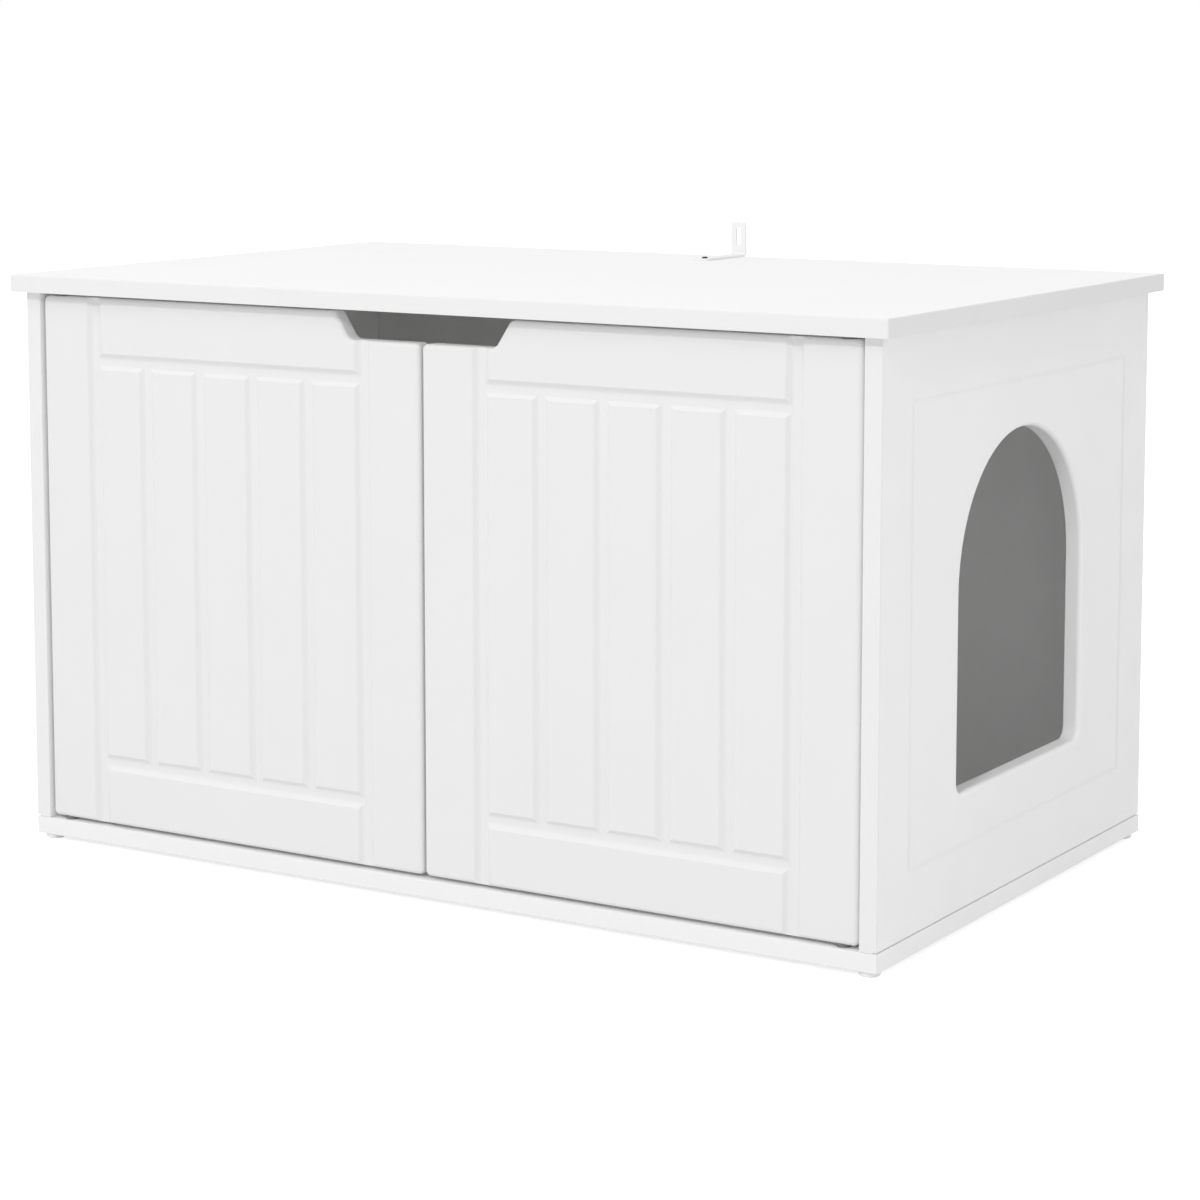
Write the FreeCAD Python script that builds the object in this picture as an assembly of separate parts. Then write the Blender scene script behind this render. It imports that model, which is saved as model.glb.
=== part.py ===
"""White two-door cabinet house with an arched opening in its right side.

Millimetres, +Z up, doors facing -Y. The origin lies on the floor, under the middle of the top board.
Every sub-part is written as one STEP file, named after its node.
"""
import FreeCAD, Part
import math
import os
from FreeCAD import Vector

# Boards
board = 16.0
carcass_width = 880.0
side_height = 494.0
side_depth = 546.0
top_side_overhang = 10.0
top_front_overhang = 11.0
top_back_overhang = 13.0
top_edge_radius = 1.5
bottom_back_overhang = 2.0

# Back panel, slid into grooves of the boards round it
back_thickness = 3.0
back_inset = 10.0
back_groove_depth = 6.0
back_clearance = 0.1

# Arched opening of the right side, placed from the front edge and the lower edge of the board
arch_width = 254.0
arch_from_front = 147.0
arch_sill = 100.0
arch_straight = 169.0
arch_sill_radius = 11.0
arch_edge_radius = 4.5

# Routed line round each side board
line_inset = 56.0
line_width = 5.0
line_depth = 1.0

# Doors, inset between the boards
door_thickness = 16.0
door_recess = 2.0
door_gap_side = 2.5
door_gap_middle = 2.5
door_gap_top = 3.0
door_gap_bottom = 3.0
door_edge_radius = 4.0
door_corner_radius = 5.0

# Routed grooves of the doors: two stile grooves, two rail grooves and the plank grooves between them
stile_width = 60.0
rail_height = 58.0
plank_count = 5
stile_groove_width = 17.0
stile_groove_depth = 3.3
rail_groove_width = 15.5
rail_groove_depth = 3.2
plank_groove_width = 16.0
plank_groove_depth = 3.0
groove_wall = 4.6

# Finger notch, cut half from each door where they meet at the top
notch_top_half = 91.0
notch_floor_half = 75.5
notch_depth = 24.0
notch_floor_radius = 8.0
notch_top_radius = 6.0

# Door pivots: a stepped pin in the top and bottom board, turning in a bush in the door's edge
pivot_inset = 16.0
pivot_shank_diameter = 8.0
pivot_shank_length = 10.0
pivot_collar_diameter = 12.0
pivot_upper_play = 0.3
pivot_pin_diameter = 5.0
pivot_pin_length = 10.0
pivot_running_gap = 0.05
pivot_end_gap = 0.5
bush_diameter = 9.0
bush_floor = 1.5

# Magnetic catch under the top board and its strike plate on each door
catch_from_middle = 130.0
catch_body_width = 26.0
catch_ear_length = 10.0
catch_ear_thickness = 3.0
catch_depth = 14.0
catch_height = 20.0
catch_gap = 0.3
magnet_width = 18.0
magnet_height = 10.0
magnet_depth = 5.0
magnet_proud = 1.0
strike_width = 36.0
strike_height = 13.0
strike_thickness = 1.5
strike_from_door_top = 2.0
strike_screw_spacing = 26.0

# Small pan-head and countersunk screws
screw_head_diameter = 7.0
screw_head_height = 2.2
screw_diameter = 3.5
screw_length = 12.0
screw_hole_gap = 0.25

# Knock-down joints between the sides and the top and bottom boards
cam_from_edge = 70.0
cam_to_dowel = 35.0
cam_diameter = 15.0
cam_depth = 12.5
cam_from_end = 24.0
cam_mouth_diameter = 8.0
cam_slot_length = 10.0
cam_slot_width = 1.2
cam_slot_depth = 2.0
bolt_thread_diameter = 6.0
bolt_thread_length = 11.0
bolt_neck_diameter = 5.0
bolt_head_diameter = 7.0
bolt_head_length = 3.0
dowel_diameter = 8.0
dowel_length = 28.0
dowel_in_deck = 10.0
dowel_end_gap = 0.5

# Feet
foot_height = 5.0
foot_diameter = 18.0
foot_inset = 12.0
foot_chamfer = 1.5
foot_nail_diameter = 3.0
foot_nail_length = 8.0

# Wall bracket on the back edge of the top
bracket_width = 16.5
bracket_thickness = 2.0
bracket_leg = 78.0
bracket_upright = 34.0
bracket_bend_radius = 2.0
bracket_corner_radius = 3.0
bracket_slot_width = 4.5
bracket_slot_length = 17.0
bracket_slot_height = 20.0
bracket_screw_from_tip = 9.0

# Levels and faces that follow from the sizes above
bottom_z = foot_height
side_z = bottom_z + board
under_top_z = side_z + side_height
top_z = under_top_z + board
top_width = carcass_width + 2 * top_side_overhang
top_depth = top_front_overhang + side_depth + top_back_overhang
top_back_y = top_depth / 2
top_front_y = -top_depth / 2
front_y = top_front_y + top_front_overhang
side_back_y = front_y + side_depth
bottom_back_y = side_back_y + bottom_back_overhang
outer_x = carcass_width / 2
inner_x = outer_x - board
side_mid_x = outer_x - board / 2
back_y = side_back_y - back_inset - back_thickness
door_face_y = front_y + door_recess
door_back_y = door_face_y + door_thickness
door_bottom_z = side_z + door_gap_bottom
door_top_z = under_top_z - door_gap_top
door_hinge_x = inner_x - door_gap_side
door_free_x = door_gap_middle / 2
pivot_x = door_hinge_x - pivot_inset
pivot_y = door_face_y + door_thickness / 2
strike_z = door_top_z - strike_from_door_top - strike_height / 2
magnet_face_y = door_back_y + strike_thickness + catch_gap
catch_y = magnet_face_y + magnet_proud
cam_ys = (front_y + cam_from_edge, side_back_y - cam_from_edge)
dowel_ys = (cam_ys[0] + cam_to_dowel, cam_ys[1] - cam_to_dowel)
joint_levels = ((side_z, 1), (under_top_z, -1))
hands = {"left": -1, "right": 1}

through = 1.0
tolerance = 1e-4
up = Vector(0, 0, 1)
down = Vector(0, 0, -1)
along_x = Vector(1, 0, 0)
along_y = Vector(0, 1, 0)


def block(x, y, z):
    """Box between two values of each of x, y and z, given in any order."""
    low = Vector(min(x), min(y), min(z))
    return Part.makeBox(abs(x[1] - x[0]), abs(y[1] - y[0]), abs(z[1] - z[0]), low)


def rod(diameter, length, start, direction):
    """Cylinder from a start point along a direction."""
    return Part.makeCylinder(diameter / 2, length, start, direction)


def rounded_outline(corners):
    """Closed wire through (point, radius) corners, with an arc at each corner that has a radius."""
    edges = []
    ends = []
    for index, (point, radius) in enumerate(corners):
        before = corners[index - 1][0]
        after = corners[(index + 1) % len(corners)][0]
        inward = (before - point).normalize()
        outward = (after - point).normalize()
        if radius == 0:
            ends.append((point, point))
            continue
        half_angle = inward.getAngle(outward) / 2
        reach = radius / math.tan(half_angle)
        first = point + inward * reach
        last = point + outward * reach
        bisector = (inward + outward).normalize()
        middle = point + bisector * (radius / math.sin(half_angle) - radius)
        edges.append(Part.Arc(first, middle, last).toShape())
        ends.append((first, last))
    for index, (first, last) in enumerate(ends):
        start = ends[index - 1][1]
        edges.append(Part.LineSegment(start, first).toShape())
    return Part.Wire(Part.__sortEdges__(edges))


def plate(corners, direction):
    """Solid of a rounded outline, extruded by the vector direction."""
    return Part.Face(rounded_outline(corners)).extrude(direction)


def edges_on_plane(shape, axis, level):
    """Edges of a shape that lie in the plane where the named coordinate has the given level."""
    def strays(edge):
        """Largest distance of an edge's box from the plane."""
        ends = (getattr(edge.BoundBox, axis + "Min"), getattr(edge.BoundBox, axis + "Max"))
        return max(abs(end - level) for end in ends)

    return [edge for edge in shape.Edges if strays(edge) < tolerance]


def cut(shape, tools):
    """Shape with a list of tools taken away."""
    return shape.cut(tools).removeSplitter()


def rectangle_wire(x, y, z):
    """Rectangle in the plane of constant x, between two values of y and z."""
    points = [Vector(x, y[0], z[0]), Vector(x, y[1], z[0]), Vector(x, y[1], z[1]), Vector(x, y[0], z[1])]
    return Part.makePolygon(points + points[:1])


def side_line(hand):
    """V-shaped ring that routes the thin line round the outer face of a side board."""
    y = (front_y + line_inset, side_back_y - line_inset)
    z = (side_z + line_inset, under_top_z - line_inset)
    half = line_width / 2
    surface_x = hand * outer_x
    root_x = hand * (outer_x - line_depth)

    def taper(grow):
        """Frustum from the line's one edge on the face to its root."""
        at_face = rectangle_wire(surface_x, (y[0] - grow, y[1] + grow), (z[0] - grow, z[1] + grow))
        return Part.makeLoft([at_face, rectangle_wire(root_x, y, z)], True, True)

    return taper(half).cut(taper(-half))


def arch_tool():
    """Solid that cuts the arch right through the side board."""
    x = inner_x - through
    low_y = front_y + arch_from_front
    high_y = low_y + arch_width
    sill_z = side_z + arch_sill
    spring_z = sill_z + arch_straight
    foot = [(Vector(x, low_y, spring_z), 0), (Vector(x, low_y, sill_z), arch_sill_radius),
            (Vector(x, high_y, sill_z), arch_sill_radius), (Vector(x, high_y, spring_z), 0)]
    length = Vector(board + 2 * through, 0, 0)
    head = Part.makeCylinder(arch_width / 2, length.x, Vector(x, (low_y + high_y) / 2, spring_z), along_x)
    return plate(foot, length).fuse(head).removeSplitter()


def joint_holes(hand):
    """Bores of a side board for cam locks, bolts and dowels."""
    tools = []
    for z, inward in joint_levels:
        direction = Vector(0, 0, inward)
        for y in cam_ys:
            cam_start = Vector(hand * inner_x, y, z + inward * cam_from_end)
            tools.append(rod(cam_diameter, cam_depth, cam_start, Vector(hand, 0, 0)))
            tools.append(rod(cam_mouth_diameter, cam_from_end, Vector(hand * side_mid_x, y, z), direction))
        for y in dowel_ys:
            start = Vector(hand * side_mid_x, y, z)
            tools.append(rod(dowel_diameter, dowel_length - dowel_in_deck + dowel_end_gap, start, direction))
    return tools


def make_side(name, hand):
    """Side board: groove for the back, joint bores, routed line, and the arch on the right."""
    shape = block((hand * inner_x, hand * outer_x), (front_y, side_back_y), (side_z, under_top_z))
    groove_y = (back_y - back_clearance, back_y + back_thickness + back_clearance)
    groove = block((hand * inner_x, hand * (inner_x + back_groove_depth)), groove_y, (side_z, under_top_z))
    shape = cut(shape, [groove] + joint_holes(hand))
    if name == "right":
        shape = cut(shape, [arch_tool()])
        mouth = [edge for edge in edges_on_plane(shape, "X", outer_x)
                 if edge.BoundBox.YMin > front_y + through and edge.BoundBox.YMax < side_back_y - through]
        shape = shape.makeFillet(arch_edge_radius, mouth)
    return cut(shape, [side_line(hand)])


def deck_holes(face_z, inward):
    """Bores of the top or bottom board for bolts, dowels and door pivots, from the face inside."""
    direction = Vector(0, 0, inward)
    tools = []
    for hand in hands.values():
        for y in cam_ys:
            start = Vector(hand * side_mid_x, y, face_z)
            tools.append(rod(bolt_thread_diameter, bolt_thread_length, start, direction))
        for y in dowel_ys:
            start = Vector(hand * side_mid_x, y, face_z)
            tools.append(rod(dowel_diameter, dowel_in_deck + dowel_end_gap, start, direction))
        pivot_start = Vector(hand * pivot_x, pivot_y, face_z)
        tools.append(rod(pivot_shank_diameter, pivot_shank_length, pivot_start, direction))
    groove_y = (back_y - back_clearance, back_y + back_thickness + back_clearance)
    groove_x = inner_x + back_groove_depth
    tools.append(block((-groove_x, groove_x), groove_y, (face_z, face_z + inward * back_groove_depth)))
    return tools


def make_top():
    """Top board, with eased upper edges and the pilot holes of the catches and the bracket."""
    shape = block((-top_width / 2, top_width / 2), (top_front_y, top_back_y), (under_top_z, top_z))
    shape = shape.makeFillet(top_edge_radius, edges_on_plane(shape, "Z", top_z))
    tools = deck_holes(under_top_z, 1)
    pilot_length = screw_length - catch_ear_thickness
    for x, y in catch_screw_places():
        tools.append(rod(screw_diameter, pilot_length, Vector(x, y, under_top_z), up))
    bracket_pilot = screw_length - bracket_thickness
    tools.append(rod(screw_diameter, bracket_pilot, bracket_screw_place(top_z), down))
    return cut(shape, tools)


def foot_places():
    """Middle of each foot, by node name."""
    foot_x = outer_x - foot_inset
    rows = {"front": front_y + foot_inset, "rear": bottom_back_y - foot_inset}
    places = {}
    for row, y in rows.items():
        for side, hand in hands.items():
            places[f"foot_{row}_{side}"] = (hand * foot_x, y)
    return places


def make_bottom():
    """Bottom board, with the nail holes of the feet."""
    shape = block((-outer_x, outer_x), (front_y, bottom_back_y), (bottom_z, side_z))
    tools = deck_holes(side_z, -1)
    for x, y in foot_places().values():
        tools.append(rod(foot_nail_diameter, foot_nail_length, Vector(x, y, bottom_z), up))
    return cut(shape, tools)


def make_back():
    """Thin back panel that stands in the grooves of the four boards."""
    reach = back_groove_depth - back_clearance
    x = inner_x + reach
    return block((-x, x), (back_y, back_y + back_thickness), (side_z - reach, under_top_z + reach))


def groove_tool(width, depth, start, run, across):
    """Groove tool in the door face: a flat floor between two sloping walls."""
    mouth = width / 2
    floor = mouth - groove_wall
    outline = [(-mouth, -through), (-mouth, 0), (-floor, depth)]
    outline += [(floor, depth), (mouth, 0), (mouth, -through)]
    origin = Vector(start[0], door_face_y, start[1])
    points = [origin + across * offset + along_y * fall for offset, fall in outline]
    return Part.Face(Part.makePolygon(points + points[:1])).extrude(run)


def door_grooves(hand):
    """Stile, rail and plank grooves of one door."""
    hinge_stile_x = door_hinge_x - stile_width
    free_stile_x = door_free_x + stile_width
    field = hinge_stile_x - free_stile_x
    lower_z = door_bottom_z + rail_height
    upper_z = door_top_z - rail_height
    left_x = min(hand * hinge_stile_x, hand * free_stile_x)
    full_height = door_top_z - door_bottom_z + 2 * through
    tools = []
    for x in (hinge_stile_x, free_stile_x):
        start = (hand * x, door_bottom_z - through)
        tools.append(groove_tool(stile_groove_width, stile_groove_depth, start, up * full_height, along_x))
    for z in (lower_z, upper_z):
        tools.append(groove_tool(rail_groove_width, rail_groove_depth, (left_x, z), along_x * field, up))
    for index in range(1, plank_count):
        start = (left_x + index * field / plank_count, lower_z)
        run = up * (upper_z - lower_z)
        tools.append(groove_tool(plank_groove_width, plank_groove_depth, start, run, along_x))
    return tools


def strike_screw_places(hand):
    """Places of the strike plate's screws on the back of a door."""
    middle = hand * catch_from_middle
    return [(middle + offset * strike_screw_spacing / 2, strike_z) for offset in (-1, 1)]


def make_door(hand):
    """Inset door with its half of the finger notch, eased front edges and routed grooves."""
    def at(x, z):
        """Point of the door's outer face."""
        return Vector(hand * x, door_face_y, z)

    notch_z = door_top_z - notch_depth
    corners = [(at(door_hinge_x, door_bottom_z), door_corner_radius),
               (at(door_free_x, door_bottom_z), door_corner_radius),
               (at(door_free_x, notch_z), door_corner_radius),
               (at(notch_floor_half, notch_z), notch_floor_radius),
               (at(notch_top_half, door_top_z), notch_top_radius),
               (at(door_hinge_x, door_top_z), door_corner_radius)]
    shape = plate(corners, Vector(0, door_thickness, 0))
    shape = shape.makeFillet(door_edge_radius, edges_on_plane(shape, "Y", door_face_y))
    bush_length = pivot_pin_length + pivot_end_gap + bush_floor
    tools = door_grooves(hand)
    tools.append(rod(bush_diameter, bush_length, Vector(hand * pivot_x, pivot_y, door_bottom_z), up))
    tools.append(rod(bush_diameter, bush_length, Vector(hand * pivot_x, pivot_y, door_top_z), down))
    pilot_length = screw_length - strike_thickness
    for x, z in strike_screw_places(hand):
        tools.append(rod(screw_diameter, pilot_length, Vector(x, door_back_y, z), -along_y))
    return cut(shape, tools)


def make_pivot(hand, face_z, inward, collar_height):
    """Stepped pin: shank in the board, collar in the gap, and the pin that the door turns on."""
    start = Vector(hand * pivot_x, pivot_y, face_z)
    direction = Vector(0, 0, inward)
    shank = rod(pivot_shank_diameter, pivot_shank_length, start, -direction)
    collar = rod(pivot_collar_diameter, collar_height, start, direction)
    gap = door_gap_bottom if inward > 0 else door_gap_top
    pin = rod(pivot_pin_diameter, gap + pivot_pin_length, start, direction)
    return shank.fuse([collar, pin]).removeSplitter()


def make_bush(hand, edge_z, inward):
    """Blind bush in the door's upper or lower edge."""
    start = Vector(hand * pivot_x, pivot_y, edge_z)
    direction = Vector(0, 0, inward)
    bore_length = pivot_pin_length + pivot_end_gap
    bore_diameter = pivot_pin_diameter + 2 * pivot_running_gap
    shell = rod(bush_diameter, bore_length + bush_floor, start, direction)
    return shell.cut(rod(bore_diameter, bore_length, start, direction))


def catch_screw_places():
    """Places of the catches' screws under the top board."""
    y = catch_y + catch_depth / 2
    reach = catch_body_width / 2 + catch_ear_length / 2
    return [(hand * catch_from_middle + offset * reach, y) for hand in hands.values() for offset in (-1, 1)]


def make_magnet(hand):
    """Magnet bar that stands a little proud of its housing, facing the door."""
    middle = hand * catch_from_middle
    return block((middle - magnet_width / 2, middle + magnet_width / 2),
                 (magnet_face_y, magnet_face_y + magnet_depth),
                 (strike_z - magnet_height / 2, strike_z + magnet_height / 2))


def make_catch(hand):
    """Catch housing with two screw ears and the pocket of the magnet."""
    middle = hand * catch_from_middle
    half = catch_body_width / 2
    y = (catch_y, catch_y + catch_depth)
    body = block((middle - half, middle + half), y, (under_top_z - catch_height, under_top_z))
    wing = half + catch_ear_length
    ears = block((middle - wing, middle + wing), y, (under_top_z - catch_ear_thickness, under_top_z))
    hole = screw_diameter + 2 * screw_hole_gap
    holes = [rod(hole, catch_ear_thickness, Vector(x, hole_y, under_top_z), down)
             for x, hole_y in catch_screw_places()]
    return cut(body.fuse(ears), holes + [make_magnet(hand)])


def pan_screw(seat, direction):
    """Pan-head screw whose head sits on a seat point and whose shank runs along a direction."""
    shank = rod(screw_diameter, screw_length, seat, direction)
    head = rod(screw_head_diameter, screw_head_height, seat, -direction)
    return head.fuse(shank).removeSplitter()


def make_strike(hand):
    """Steel strike plate on the back of a door, countersunk for its screws."""
    middle = hand * catch_from_middle
    half = strike_width / 2
    sheet = block((middle - half, middle + half), (door_back_y, door_back_y + strike_thickness),
                  (strike_z - strike_height / 2, strike_z + strike_height / 2))
    return cut(sheet, [countersunk_screw(x, z) for x, z in strike_screw_places(hand)])


def countersunk_screw(x, z):
    """Countersunk screw that ends flush with the strike plate's face."""
    face = Vector(x, door_back_y + strike_thickness, z)
    head = Part.makeCone(screw_head_diameter / 2, screw_diameter / 2, strike_thickness, face, -along_y)
    return head.fuse(rod(screw_diameter, screw_length, face, -along_y)).removeSplitter()


def make_cam(hand, y, z, inward):
    """Cam lock: a drum in the side board with a mouth for the bolt's head and a driver slot."""
    start = Vector(hand * inner_x, y, z + inward * cam_from_end)
    outward = Vector(hand, 0, 0)
    drum = rod(cam_diameter, cam_depth, start, outward)
    mouth_start = Vector(hand * side_mid_x, y, z + inward * cam_from_end)
    mouth = rod(cam_mouth_diameter, cam_diameter, mouth_start, Vector(0, 0, -inward))
    slot = block((hand * inner_x, hand * (inner_x + cam_slot_depth)),
                 (y - cam_slot_length / 2, y + cam_slot_length / 2),
                 (start.z - cam_slot_width / 2, start.z + cam_slot_width / 2))
    return cut(drum, [mouth, slot])


def make_bolt(hand, y, z, inward):
    """Cam bolt: thread in the top or bottom board, neck, and head in the cam's mouth."""
    start = Vector(hand * side_mid_x, y, z)
    direction = Vector(0, 0, inward)
    thread = rod(bolt_thread_diameter, bolt_thread_length, start, -direction)
    neck_length = cam_from_end - bolt_head_length
    neck = rod(bolt_neck_diameter, neck_length, start, direction)
    head_start = start + direction * (neck_length - bolt_head_length)
    head = rod(bolt_head_diameter, bolt_head_length, head_start, direction)
    return thread.fuse([neck, head]).removeSplitter()


def make_dowel(hand, y, z, inward):
    """Wood dowel across a joint, with its shorter end in the top or bottom board."""
    start = Vector(hand * side_mid_x, y, z - inward * dowel_in_deck)
    return rod(dowel_diameter, dowel_length, start, Vector(0, 0, inward))


def make_foot(x, y):
    """Nail-on glide with a chamfered lower edge."""
    disc = rod(foot_diameter, foot_height, Vector(x, y, 0), up)
    disc = disc.makeChamfer(foot_chamfer, edges_on_plane(disc, "Z", 0))
    nail = rod(foot_nail_diameter, foot_nail_length, Vector(x, y, foot_height), up)
    return disc.fuse(nail).removeSplitter()


def bracket_screw_place(z):
    """Point on the bracket's leg, above or below its screw hole."""
    return Vector(0, top_back_y - bracket_leg + bracket_screw_from_tip, z)


def make_bracket():
    """Bent strip with a screwed leg on the top and a slotted upright for the wall."""
    x = -bracket_width / 2
    tip_y = top_back_y - bracket_leg
    inner_y = top_back_y - bracket_thickness
    leg_z = top_z + bracket_thickness
    crest_z = top_z + bracket_upright
    outer_radius = bracket_bend_radius + bracket_thickness
    corners = [(Vector(x, tip_y, top_z), 0), (Vector(x, top_back_y, top_z), outer_radius),
               (Vector(x, top_back_y, crest_z), 0), (Vector(x, inner_y, crest_z), 0),
               (Vector(x, inner_y, leg_z), bracket_bend_radius), (Vector(x, tip_y, leg_z), 0)]
    strip = plate(corners, Vector(bracket_width, 0, 0))
    short_edges = [edge for edge in strip.Edges if abs(edge.Length - bracket_thickness) < tolerance]
    strip = strip.makeFillet(bracket_corner_radius, short_edges)
    hole_diameter = screw_diameter + 2 * screw_hole_gap
    hole = rod(hole_diameter, bracket_thickness, bracket_screw_place(top_z), up)
    slot_z = top_z + bracket_slot_height
    reach = (bracket_slot_length - bracket_slot_width) / 2
    half = bracket_slot_width / 2
    ends = [rod(bracket_slot_width, bracket_thickness, Vector(0, inner_y, slot_z + way * reach), along_y)
            for way in (-1, 1)]
    middle = block((-half, half), (inner_y, top_back_y), (slot_z - reach, slot_z + reach))
    return cut(strip, [hole, middle] + ends)


def all_nodes():
    """Every node of the part, by name."""
    nodes = {"top_panel": make_top(), "bottom_panel": make_bottom(), "back_panel": make_back(),
             "wall_bracket": make_bracket(),
             "bracket_screw": pan_screw(bracket_screw_place(top_z + bracket_thickness), down)}
    for name, (x, y) in foot_places().items():
        nodes[name] = make_foot(x, y)
    for side, hand in hands.items():
        nodes[f"{side}_side_panel"] = make_side(side, hand)
        nodes[f"{side}_door"] = make_door(hand)
        nodes[f"{side}_lower_pivot"] = make_pivot(hand, side_z, 1, door_gap_bottom)
        nodes[f"{side}_upper_pivot"] = make_pivot(hand, under_top_z, -1, door_gap_top - pivot_upper_play)
        nodes[f"{side}_lower_bush"] = make_bush(hand, door_bottom_z, 1)
        nodes[f"{side}_upper_bush"] = make_bush(hand, door_top_z, -1)
        nodes[f"{side}_catch_housing"] = make_catch(hand)
        nodes[f"{side}_catch_magnet"] = make_magnet(hand)
        nodes[f"{side}_strike_plate"] = make_strike(hand)
        screws = [countersunk_screw(x, z) for x, z in strike_screw_places(hand)]
        nodes[f"{side}_strike_screws"] = Part.makeCompound(screws)
    joints = [(hand, z, inward) for hand in hands.values() for z, inward in joint_levels]
    cams = [make_cam(hand, y, z, inward) for hand, z, inward in joints for y in cam_ys]
    bolts = [make_bolt(hand, y, z, inward) for hand, z, inward in joints for y in cam_ys]
    dowels = [make_dowel(hand, y, z, inward) for hand, z, inward in joints for y in dowel_ys]
    head_z = under_top_z - catch_ear_thickness
    catch_screws = [pan_screw(Vector(x, y, head_z), up) for x, y in catch_screw_places()]
    nodes["catch_screws"] = Part.makeCompound(catch_screws)
    nodes["cam_locks"] = Part.makeCompound(cams)
    nodes["cam_bolts"] = Part.makeCompound(bolts)
    nodes["wood_dowels"] = Part.makeCompound(dowels)
    return nodes


def main():
    """Build every node and write its STEP file."""
    os.makedirs("parts", exist_ok=True)
    for name, shape in all_nodes().items():
        if not shape.isValid():
            raise ValueError(f"{name} is not a valid solid")
        shape.exportStep(f"parts/{name}.step")


main()
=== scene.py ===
"""Looks of a white two-door cabinet house with an arched opening in its right side.

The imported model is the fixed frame. Boards, doors and visible fittings are modelled over it with
eased edges and soft routed grooves, and every piece gets a procedural finish. Sizes are in metres.
"""

import logging
import math
from collections.abc import Callable, Iterable
from dataclasses import dataclass, replace
from enum import Enum

import bmesh
import bpy
from mathutils import Matrix, Vector


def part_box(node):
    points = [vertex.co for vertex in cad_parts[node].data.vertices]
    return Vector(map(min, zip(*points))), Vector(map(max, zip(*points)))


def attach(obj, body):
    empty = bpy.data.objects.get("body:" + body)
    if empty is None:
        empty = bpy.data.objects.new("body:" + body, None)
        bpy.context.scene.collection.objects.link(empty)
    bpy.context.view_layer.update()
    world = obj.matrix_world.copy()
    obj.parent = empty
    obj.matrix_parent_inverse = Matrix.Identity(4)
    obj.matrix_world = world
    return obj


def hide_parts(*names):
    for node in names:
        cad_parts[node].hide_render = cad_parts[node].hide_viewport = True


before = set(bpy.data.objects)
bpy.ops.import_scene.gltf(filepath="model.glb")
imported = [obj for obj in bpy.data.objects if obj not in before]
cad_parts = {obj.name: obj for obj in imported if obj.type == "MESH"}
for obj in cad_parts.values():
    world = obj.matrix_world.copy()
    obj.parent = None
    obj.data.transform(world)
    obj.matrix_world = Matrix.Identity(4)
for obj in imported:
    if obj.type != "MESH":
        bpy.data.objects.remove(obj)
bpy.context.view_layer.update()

MM = 0.001
NEAR = 0.02 * MM  # two levels closer than this are the same
ALONG = 0.99  # two directions whose cosine is above this are the same
OVERRUN = 1.0 * MM  # how far a cutting tool runs past the face that it starts from
log = logging.getLogger("cabinet")

Test = Callable[..., bool]
Box = tuple[Vector, Vector]
Piece = bpy.types.Object
Socket = bpy.types.NodeSocket


class Axis(Enum):
    """The frame's three directions, by their place in a vector."""

    X = 0
    Y = 1
    Z = 2

    @property
    def unit(self) -> Vector:
        """Unit vector along this direction."""
        return Vector([1.0 if index == self.value else 0.0 for index in range(3)])


class Hand(Enum):
    """Left or right half of the cabinet, seen from the front."""

    LEFT = -1
    RIGHT = 1

    @property
    def side(self) -> str:
        """Word that starts the names of this half's pieces."""
        return self.name.lower()


class Kind(Enum):
    """Mesh elements that a test can pick in edit mode."""

    VERT = "verts"
    EDGE = "edges"
    FACE = "faces"


class Body(Enum):
    """Bodies of the frame that pieces ride on."""

    CARCASS = "carcass"
    LEFT_DOOR = "left_door"
    RIGHT_DOOR = "right_door"


class Slot(Enum):
    """Material slots of the record."""

    BOARD = "white_board"
    FOIL = "door_foil"
    BACK = "back_board"
    FOOT = "foot_plastic"
    PAINTED = "white_metal"
    BLACK = "black_metal"
    GREY = "grey_metal"
    DOWEL = "dowel_wood"
    CAM = "cam_metal"
    BUSH = "bush_plastic"
    CATCH = "catch_plastic"
    MAGNET = "magnet"
    STEEL = "steel"


def anything(element: object) -> bool:
    """Test that every element passes."""
    return True


def on_plane(axis: Axis, level: float) -> Test:
    """Test for elements that lie wholly in the plane where one coordinate has a level."""
    return lambda element: all(abs(vertex.co[axis.value] - level) < NEAR for vertex in element.verts)


def every(*tests: Test) -> Test:
    """Test for elements that pass all of several tests."""
    return lambda element: all(test(element) for test in tests)


def on_line(places: dict[Axis, float]) -> Test:
    """Test for elements that lie wholly on given levels of two coordinates."""
    return every(*(on_plane(axis, level) for axis, level in places.items()))


def facing(direction: Vector, area: float = 0.0) -> Test:
    """Test for faces that look along a direction and are larger than an area."""
    return lambda face: face.normal.dot(direction) > ALONG and face.calc_area() > area


def centred(low: float, high: float) -> Test:
    """Test for faces whose middle lies between two heights."""
    return lambda face: low < face.calc_center_median().z < high


def sharp(edge: bmesh.types.BMEdge, degrees: float = 30.0) -> bool:
    """Whether the two faces of an edge meet at more than so many degrees."""
    return len(edge.link_faces) == 2 and edge.calc_face_angle() > math.radians(degrees)


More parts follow.
